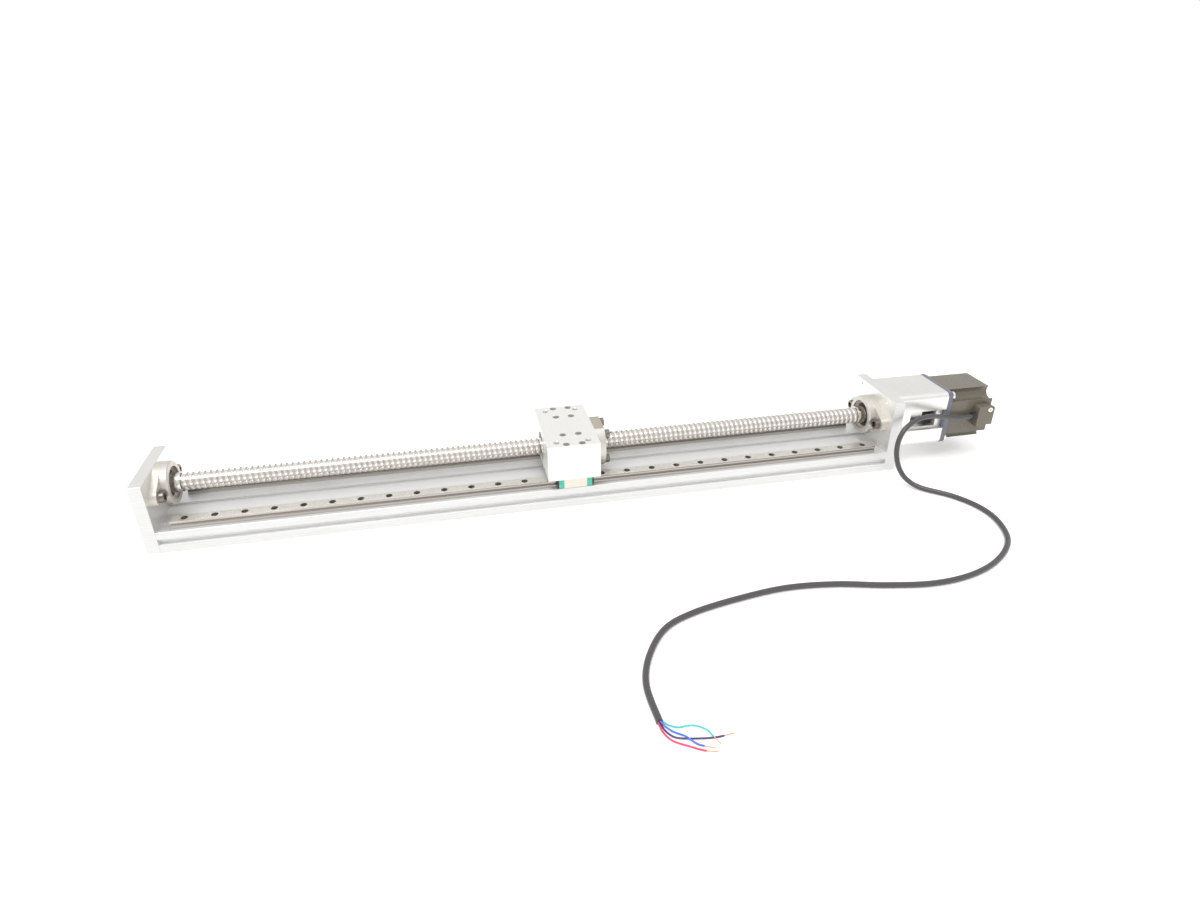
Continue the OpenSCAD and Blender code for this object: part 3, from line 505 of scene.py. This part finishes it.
def wind_thread():
    section = thread_section(-thread_end - LEAD)
    mesh = bpy.data.meshes.new("screw_thread")
    mesh.from_pydata(
        [(x, 0, r) for x, r in section], [(i, i + 1) for i in range(len(section) - 1)], []
    )
    thread = add_object("screw_thread", mesh)
    wind = thread.modifiers.new("wind", "SCREW")
    wind.axis = "X"
    wind.angle = 2 * math.pi
    wind.screw_offset = LEAD
    wind.iterations = math.ceil((2 * thread_end + 2 * LEAD) / LEAD)
    wind.steps = wind.render_steps = TURN_STEPS
    wind.use_merge_vertices = True
    wind.merge_threshold = CLOSE
    wind.use_normal_calculate = True
    apply_all_modifiers(thread)
    return thread


thread = wind_thread()
print("thread faces", len(thread.data.polygons))

# %% [markdown]
# The wound surface runs a little past both ends. It is cut square with
# Bisect, which also fills the cut, and then moved onto the screw's axis.

# %% Cut the thread's ends
WELD = 0.000005


def cut_square(piece, x, keep_low):
    edit_all(piece)
    bpy.ops.mesh.bisect(
        plane_co=(x, 0, 0),
        plane_no=(1, 0, 0),
        use_fill=True,
        clear_outer=keep_low,
        clear_inner=not keep_low,
    )
    end_edit()


cut_square(thread, thread_end, True)
cut_square(thread, -thread_end, False)
thread.location = (0, 0, AXIS_Z)
bake_place(thread)
edit_all(thread)
bpy.ops.mesh.remove_doubles(threshold=WELD)
bpy.ops.mesh.normals_make_consistent(inside=False)
end_edit()
print("thread faces", len(thread.data.polygons))

# %% [markdown]
# The balls polish the groove until it mirrors the room, while the lands that
# they never touch stay dull. The lands are also painted much darker than the
# steel is, a painted shade that draws the dark line between two turns'
# glints. Each has its own finish, and the faces are told apart by their
# distance from the axis. A face counts as square to an axis when nearly all
# of its normal lies along it, which is what SQUARE says.

# %% Land and groove
SQUARE = 0.95
LAND_FROM = THREAD_RADIUS * 0.985
thread.data.materials.append(finishes["screw_land_painted_shade"])
thread.data.materials.append(finishes["screw_groove"])
# Painted shade: the lands and the cut ends take the darker land finish.
for face in thread.data.polygons:
    from_axis = math.hypot(face.center.y, face.center.z - AXIS_Z)
    square_end = abs(face.normal.x) > SQUARE
    face.material_index = 0 if square_end or from_axis > LAND_FROM else 1
    face.use_smooth = not square_end
select_only(thread)
smooth_below(35)
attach(thread, "screw")
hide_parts("ball_screw")
print("groove faces", sum(face.material_index for face in thread.data.polygons))

# %% [markdown]
# ## Journals
# Past the thread the screw is turned down to run in the bearings, and once
# more at the coupling. A shaft is chamfered at its tip, so that it enters a
# bearing without catching. Each journal starts as a cylinder, and the ring
# of edges at its tip is bevelled.

# %% Journals
JOURNAL_RADIUS = 0.006
DRIVE_END_RADIUS = 0.005
TIP_CHAMFER = 0.0005
plate_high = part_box("drive_end_plate")[1]


def turned_bar(name, x0, x1, radius, tip_x):
    """A round bar along X from x0 to x1, with a chamfer at tip_x."""
    deselect()
    bpy.ops.mesh.primitive_cylinder_add(
        vertices=64,
        radius=radius,
        depth=x1 - x0,
        location=((x0 + x1) / 2, 0, AXIS_Z),
        rotation=(0, math.pi / 2, 0),
    )
    bar = bpy.context.active_object
    bar.name = bar.data.name = name
    bake_place(bar)
    edit_all(bar)
    bpy.ops.mesh.select_all(action="DESELECT")
    end_edit()
    for edge in bar.data.edges:
        ends = [bar.data.vertices[v].co.x for v in edge.vertices]
        edge.select = all(abs(x - tip_x) < CLOSE for x in ends)
    bpy.ops.object.mode_set(mode="EDIT")
    bpy.ops.mesh.select_mode(type="EDGE")
    bpy.ops.mesh.bevel(offset=TIP_CHAMFER, segments=2)
    end_edit()
    smooth_below(30)
    bar.data.materials.append(finishes["polished_steel"])
    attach(bar, "screw")
    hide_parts("ball_screw")


turned_bar("idle_journal", screw_low.x, -thread_end, JOURNAL_RADIUS, screw_low.x)
turned_bar("drive_journal", thread_end, plate_high.x, JOURNAL_RADIUS, plate_high.x)
turned_bar("drive_end", plate_high.x, screw_high.x, DRIVE_END_RADIUS, screw_high.x)
print("journals from", round(screw_low.x, 4), "to", round(screw_high.x, 4))

# %% [markdown]
# ## Finishes on the CAD pieces
# The other pieces already have their true shape in the frame, so each only
# needs its finish. A table from finish to nodes keeps this in one place.

# %% Finish each node
finish_of = {
    "base_aluminium": ["base_profile"],
    "plate_aluminium": [
        "idle_end_plate",
        "drive_end_plate",
        "motor_housing",
        "coupling_screw_hub",
        "coupling_motor_hub",
    ],
    "carriage_aluminium": ["carriage_plate"],
    "ground_rail": ["front_rail", "rear_rail"],
    "bearing_steel": [
        "idle_bearing_outer_ring",
        "drive_bearing_outer_ring",
        "idle_bearing_inner_ring",
        "drive_bearing_inner_ring",
        "idle_bearing_balls",
        "drive_bearing_balls",
        "guide_balls",
        "motor_shaft",
        "motor_bearings",
    ],
    "housing_steel": [
        "idle_bearing_housing",
        "drive_bearing_housing",
        "ball_nut",
        "motor_rotor",
    ],
    "block_steel": ["front_guide_block", "rear_guide_block"],
    "black_oxide": [
        "plate_screws",
        "rail_screws",
        "idle_housing_bolts",
        "drive_housing_bolts",
        "collar_set_screws",
        "nut_screws",
        "guide_cap_screws",
        "motor_case_screws",
        "coupling_clamp_screws",
    ],
    # Painted light: the screws deep in the carriage's counterbores are lifted out of their shade.
    "counterbore_bolt_painted_light": ["guide_block_screws"],
    "zinc_bolt": ["motor_bolts", "cable_cover_screw"],
    "cap_green": ["front_guide_caps", "rear_guide_caps"],
    "seal_rubber": [
        "front_guide_seals",
        "rear_guide_seals",
        "idle_bearing_seals",
        "drive_bearing_seals",
        "nut_wipers",
        "cable_grommet",
    ],
    "motor_paint": ["motor_stator", "motor_rear_cap", "cable_cover"],
    "flange_paint": ["motor_flange"],
    "spider_red": ["coupling_spider"],
}
for finish_name, names in finish_of.items():
    for name in names:
        for slot in nodes[name].material_slots:
            slot.material = finishes[finish_name]
print("finished", sum(len(v) for v in finish_of.values()), "nodes")

# %% [markdown]
# ## Broken edges
# No machined edge is sharp: each one is broken with a file or a small
# chamfer, and that thin band is what catches the light and makes a block of
# white metal readable. The larger pieces are copied from the frame, their
# triangles are merged back into flat faces, and a Bevel modifier breaks
# every edge that turns by more than 40 degrees. On bare metal its new faces
# take a second, brighter finish, because a filed edge has no oxide on it. A
# Weighted Normal modifier then keeps the large faces flat up to the bevel.

# %% Which body each node rides on
body_of = {
    name: body for body, names in frame["record"]["behaviour"]["bodies"].items() for name in names
}

# %% Helpers that break edges
SHARP_ANGLE = 40
MERGE_ANGLE = 1


def flat_faces(piece):
    """Smooth round bevels and holes, with the large faces kept flat."""
    select_only(piece)
    smooth_below(50)
    flat = piece.modifiers.new("flat", "WEIGHTED_NORMAL")
    flat.keep_sharp = True
    apply_all_modifiers(piece)


def broken_edges(name, width, edge_finish=None):
    """A copy of a node with its sharp edges bevelled, which stands for it."""
    mesh = nodes[name].data.copy()
    mesh.name = f"{name}_edged"
    piece = add_object(mesh.name, mesh)
    edit_all(piece)
    bpy.ops.mesh.remove_doubles(threshold=WELD)
    bpy.ops.mesh.dissolve_limited(angle_limit=math.radians(MERGE_ANGLE))
    end_edit()
    edge = piece.modifiers.new("edge", "BEVEL")
    edge.width = width
    edge.segments = 2
    edge.limit_method = "ANGLE"
    edge.angle_limit = math.radians(SHARP_ANGLE)
    if edge_finish:
        piece.data.materials.append(edge_finish)
        edge.material = len(piece.data.materials) - 1
    apply_all_modifiers(piece)
    flat_faces(piece)
    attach(piece, body_of[name])
    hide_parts(name)
    return piece


# %% Break the edges
PLATE_EDGE = 0.0005
TURNED_EDGE = 0.0007
FINE_EDGE = 0.0003
filed = finishes["filed_edge"]
edge_table = [
    (PLATE_EDGE, filed, ["idle_end_plate", "drive_end_plate", "carriage_plate", "motor_housing"]),
    (TURNED_EDGE, filed, ["idle_bearing_housing", "drive_bearing_housing", "ball_nut"]),
    (FINE_EDGE, filed, ["base_profile"]),
    (FINE_EDGE, None, ["motor_flange", "motor_stator", "motor_rear_cap", "cable_cover"]),
]
edged = {}
for width, edge_finish, names in edge_table:
    for name in names:
        edged[name] = broken_edges(name, width, edge_finish)
        print(name, len(edged[name].data.polygons), "faces")

# %% [markdown]
# The carriage has four threads for the load. A tap raises a burr, so each
# hole is countersunk afterwards with a cone that leaves a bright ring. The
# four cones are modelled as cutters and taken out of the carriage with a
# Boolean modifier, which also hands their finish to the faces that it cuts.

# %% Countersink the load holes
carriage_low, carriage_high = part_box("carriage_plate")
carriage_middle = (carriage_low + carriage_high) / 2
HOLE_X, HOLE_Y = 0.015, 0.035
SINK_RADIUS = 0.0031
SINK_DEPTH = 0.0012
SINK_OVER = 0.0003


def join_pieces(pieces, name):
    deselect()
    for piece in pieces:
        piece.select_set(True)
    bpy.context.view_layer.objects.active = pieces[0]
    bpy.ops.object.join()
    pieces[0].name = pieces[0].data.name = name
    return pieces[0]


def sink_cone(x, y):
    """A cone that reaches SINK_DEPTH into the carriage and SINK_OVER above it."""
    deselect()
    bpy.ops.mesh.primitive_cone_add(
        vertices=32,
        radius1=SINK_RADIUS - SINK_DEPTH,
        radius2=SINK_RADIUS + SINK_OVER,
        depth=SINK_DEPTH + SINK_OVER,
        location=(
            carriage_middle.x + x,
            carriage_middle.y + y,
            carriage_high.z + SINK_OVER / 2 - SINK_DEPTH / 2,
        ),
    )
    cone = bpy.context.active_object
    cone.data.materials.append(filed)
    bake_place(cone)
    return cone


cones = [sink_cone(x, y) for x in (-HOLE_X, HOLE_X) for y in (-HOLE_Y, HOLE_Y)]
cutter = join_pieces(cones, "countersink_cutter")
carriage = edged["carriage_plate"]
sink = carriage.modifiers.new("sink", "BOOLEAN")
sink.object = cutter
sink.operation = "DIFFERENCE"
sink.solver = "EXACT"
sink.material_mode = "TRANSFER"
apply_all_modifiers(carriage)
bpy.data.objects.remove(cutter)
flat_faces(carriage)
print("carriage", len(carriage.data.polygons), "faces after sinking")

# %% [markdown]
# The nut's flange has one flat milled across its top, and that face is given
# a browner, darker finish than the rest of the nut. It is one face, so it only
# needs a finish of its own.

# %% The nut's flat
nut_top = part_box("ball_nut")[1].z
NUT_TOP_BAND = 0.001


def finish_faces(piece, finish, chosen):
    """Gives the faces for which chosen(face) is true a finish of their own."""
    piece.data.materials.append(finish)
    index = len(piece.data.materials) - 1
    faces = [face for face in piece.data.polygons if chosen(face)]
    for face in faces:
        face.material_index = index
    return len(faces)


def on_nut_flat(face):
    return face.normal.z > SQUARE and face.center.z > nut_top - NUT_TOP_BAND


print("nut flat", finish_faces(edged["ball_nut"], finishes["brown_nut_flat"], on_nut_flat), "face")

# %% [markdown]
# ## Sides of the plates and the slots of the base
# The outer sides of the base and of the end plates mirror so much of the bright
# table that they get a darker copy of their finish: painted shade that keeps
# them from washing out. Their upright and lower broken edges get a darker
# finish still, painted shade that draws the outline of the base. The walls of
# the side slots get a paler finish, painted light for the light that the
# grooves catch, because a real groove in a lit surface isn't black. Each kind
# of face is found by where it lies and which way its normal points.

# %% Sides, edges and slots
HALF_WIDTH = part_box("base_profile")[1].y
SIDE_DEPTH = 0.0005
SLOT_DEPTH = 0.0065
SLOT_LOW, SLOT_HIGH = 0.005, 0.017
SKIN = 0.0001
UPWARD = 0.3
END_ON = 0.1
EDGE_INDEX = 1


def narrow_side(face):
    return abs(face.normal.y) > SQUARE and abs(face.center.y) > HALF_WIDTH - SIDE_DEPTH


# Lower and upright broken edges, which get painted shade.
def edge_with_painted_shade(face):
    return face.material_index == EDGE_INDEX and face.normal.z < UPWARD


# Slot walls, which get painted light.
def slot_wall_painted_light(face):
    _, y, z = face.center
    inside = HALF_WIDTH - SLOT_DEPTH < abs(y) < HALF_WIDTH - SKIN
    return inside and SLOT_LOW < z < SLOT_HIGH and abs(face.normal.x) < END_ON


# Painted shade on the outer sides and on the lower and upright edges, painted light on the slot
# walls.
for name in ("base_profile", "idle_end_plate", "drive_end_plate"):
    sides = finish_faces(edged[name], finishes["outer_side_painted_shade"], narrow_side)
    edges = finish_faces(edged[name], finishes["outline_edge_painted_shade"], edge_with_painted_shade)
    print(name, sides, "sides,", edges, "edges")
walls = finish_faces(edged["base_profile"], finishes["slot_wall_painted_light"], slot_wall_painted_light)
print("base", walls, "slot walls")

# %% [markdown]
# ## Ball tracks on the rails
# The guide's balls roll in a groove along each side of a rail. It holds oil
# and lies in shade, and the shade is painted in too: the groove's dark finish
# draws the thin dark line under the bright top edge. The sides are ground
# less finely than the top, so they are a little rougher, and they get a
# darker copy of the rail's finish: painted shade against the sun and the
# bright table that light them. The narrow chamfer above them takes the
# groove's dark finish, painted shade that hides the sun's glint on it. The
# faces of the groove are found by their height and by how far they lie inside
# the rail's side.

# %% Darken the tracks
RAIL_EDGE = 0.0001
TRACK_INDEX, SIDE_INDEX = 1, 2
TRACK_DEEP, TRACK_HIGH = 0.0045, 0.0015
SIDEWAYS = 0.3
SMALLEST_FACE = 1e-6


def dark_tracks(name, top_finish):
    """Breaks a rail's edges and darkens its tracks, which lie inside its sides."""
    low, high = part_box(name)
    rail = broken_edges(name, RAIL_EDGE)
    rail.data.materials.clear()
    for finish in (top_finish, finishes["ball_track_painted_shade"], finishes["rail_side_painted_shade"]):
        rail.data.materials.append(finish)
    middle, half = (low.y + high.y) / 2, (high.y - low.y) / 2
    tracks = 0
    for face in rail.data.polygons:
        _, y, z = face.center
        # Painted shade: sides get the darker side finish, chamfers and grooves the dark track
        # finish.
        if abs(face.normal.y) > SIDEWAYS:
            face.material_index = TRACK_INDEX if face.normal.z > UPWARD else SIDE_INDEX
        inside = abs(y - middle) < half - SKIN
        along = abs(face.normal.x) < END_ON and face.area > SMALLEST_FACE
        if inside and along and high.z - TRACK_DEEP < z < high.z - TRACK_HIGH:
            face.material_index = TRACK_INDEX
            tracks += 1
    return tracks


print("front rail", dark_tracks("front_rail", finishes["ground_rail"]), "track faces")
# Painted shade: the rear rail's top is a darker copy of the front rail's finish.
print("rear rail", dark_tracks("rear_rail", finishes["rear_rail_painted_shade"]), "track faces")

# %% [markdown]
# ## Table and light
# The module lies on a plain white table in a bright workshop with pale
# walls. Bare metal shows what stands around it, so the light has to be
# uneven for the edges to show: the world is dimmest at the height of the
# walls and brighter at the horizon and overhead, and a wide sun gives the
# screw its row of glints. The table is no lamp, but it is given a faint
# glow: painted light that keeps the shadows pale and lights the grooves in
# the side of the base from below. The stops of the world's ramp run from
# the horizon, at 0, to straight overhead, at 1.

# %% Table
PAINTED_TABLE_GLOW = 0.27
deselect()
bpy.ops.mesh.primitive_plane_add(size=40, location=(0, 0, 0))
table = bpy.context.active_object
table.name = "table"
table_finish = coated("table_white_painted_glow", (0.88, 0.88, 0.88), 0.6, grain=40, bump=0.0, darkest=0.995)
shader = table_finish.node_tree.nodes["Principled BSDF"]
# Painted light: the table is no lamp, and its glow only keeps the shadows pale.
shader.inputs["Emission Strength"].default_value = PAINTED_TABLE_GLOW
table.data.materials.append(table_finish)
print("table glow", PAINTED_TABLE_GLOW)


# %% Sun
def soft_sun(name, towards, strength, angle):
    data = bpy.data.lights.new(name, "SUN")
    data.energy = strength
    data.angle = math.radians(angle)
    sun = add_object(name, data)
    sun.rotation_euler = Vector(towards).to_track_quat("-Z", "Y").to_euler()
    return sun


lamps = soft_sun("ceiling_lamps", towards=(0.3, 0.35, -1), strength=1.05, angle=25)
print("sun", round(lamps.data.energy, 2))

# %% World
HORIZON_LIGHT = 1.05
WALL_LIGHT = 0.84
CEILING_LIGHT = 1.2
BLUE_SHARE = 0.99
stops = {0.04: HORIZON_LIGHT, 0.12: WALL_LIGHT, 0.5: WALL_LIGHT, 1.0: CEILING_LIGHT}
world = bpy.data.worlds.new("workshop")
world.use_nodes = True
world_nodes, world_links = world.node_tree.nodes, world.node_tree.links
direction = world_nodes.new("ShaderNodeTexCoord")
height = world_nodes.new("ShaderNodeSeparateXYZ")
rise = world_nodes.new("ShaderNodeValToRGB")
steps = rise.color_ramp.elements
steps[0].position, steps[1].position = min(stops), max(stops)
for position in sorted(stops)[1:-1]:
    steps.new(position)
for step, light in zip(steps, stops.values()):
    step.color = (light, light, light * BLUE_SHARE, 1)
world_links.new(direction.outputs["Generated"], height.inputs["Vector"])
world_links.new(height.outputs["Z"], rise.inputs["Fac"])
world_links.new(rise.outputs["Color"], world_nodes["Background"].inputs["Color"])
bpy.context.scene.world = world
bpy.context.scene.view_settings.view_transform = "Standard"
print("world", {round(step.position, 2): round(step.color[0], 2) for step in steps})
